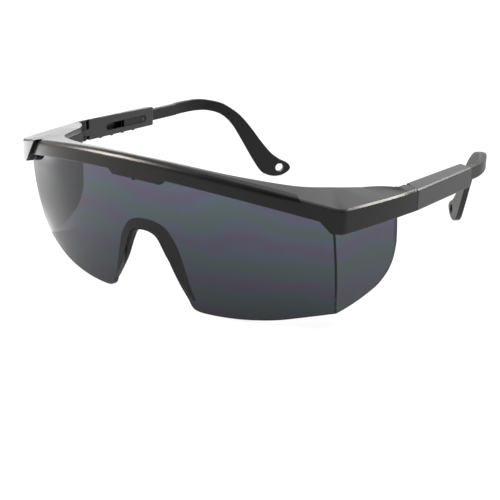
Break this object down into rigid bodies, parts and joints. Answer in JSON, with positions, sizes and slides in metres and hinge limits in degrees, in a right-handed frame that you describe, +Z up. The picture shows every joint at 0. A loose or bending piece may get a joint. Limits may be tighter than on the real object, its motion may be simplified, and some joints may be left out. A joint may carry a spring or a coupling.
{
  "type": "safety spectacles",
  "caption": "Wrap-around safety spectacles with a smoke lens, arched brow frame, soft nose pad and folding temples whose ear pieces slide in and out.",
  "frame": {"origin": "middle of the bounding box at the level of the surface it stands on", "axes": "+X to the wearer's left, +Y to the back along the temples, +Z up, as it stands on the lens and the ear hooks"},
  "size_m": [0.152, 0.1498, 0.052],
  "materials": {
    "frame": "satin black nylon",
    "lens": "clear smoke-grey polycarbonate",
    "pad": "matt black elastomer",
    "steel": "bright steel",
    "sleeve": "satin black nylon",
    "ear": "satin black nylon",
    "peg": "satin black nylon"
  },
  "bodies": {
    "front": {"brow_frame": "frame", "wrap_lens": "lens", "nose_pad": "pad", "hinge_pin_left": "steel", "hinge_pin_right": "steel"},
    "sleeve_left": {"temple_sleeve_left": "sleeve"},
    "sleeve_right": {"temple_sleeve_right": "sleeve"},
    "ear_left": {"ear_piece_left": "ear", "stop_peg_left": "peg"},
    "ear_right": {"ear_piece_right": "ear", "stop_peg_right": "peg"}
  },
  "joints": [
    {"name": "hinge_left", "type": "hinge", "parent": "front", "child": "sleeve_left", "pos_m": [0.073, -0.02569, 0.03801], "axis": [0, 0.0529, 0.9986], "range_deg": [0, 90]},
    {"name": "hinge_right", "type": "hinge", "parent": "front", "child": "sleeve_right", "pos_m": [-0.073, -0.02569, 0.03801], "axis": [0, -0.0529, -0.9986], "range_deg": [0, 78]},
    {"name": "slide_left", "type": "slide", "parent": "sleeve_left", "child": "ear_left", "axis": [0, 0.9986, -0.0529], "range_m": [-0.0025, 0.007]},
    {"name": "slide_right", "type": "slide", "parent": "sleeve_right", "child": "ear_right", "axis": [0, 0.9986, -0.0529], "range_m": [-0.0095, 0]}
  ]
}
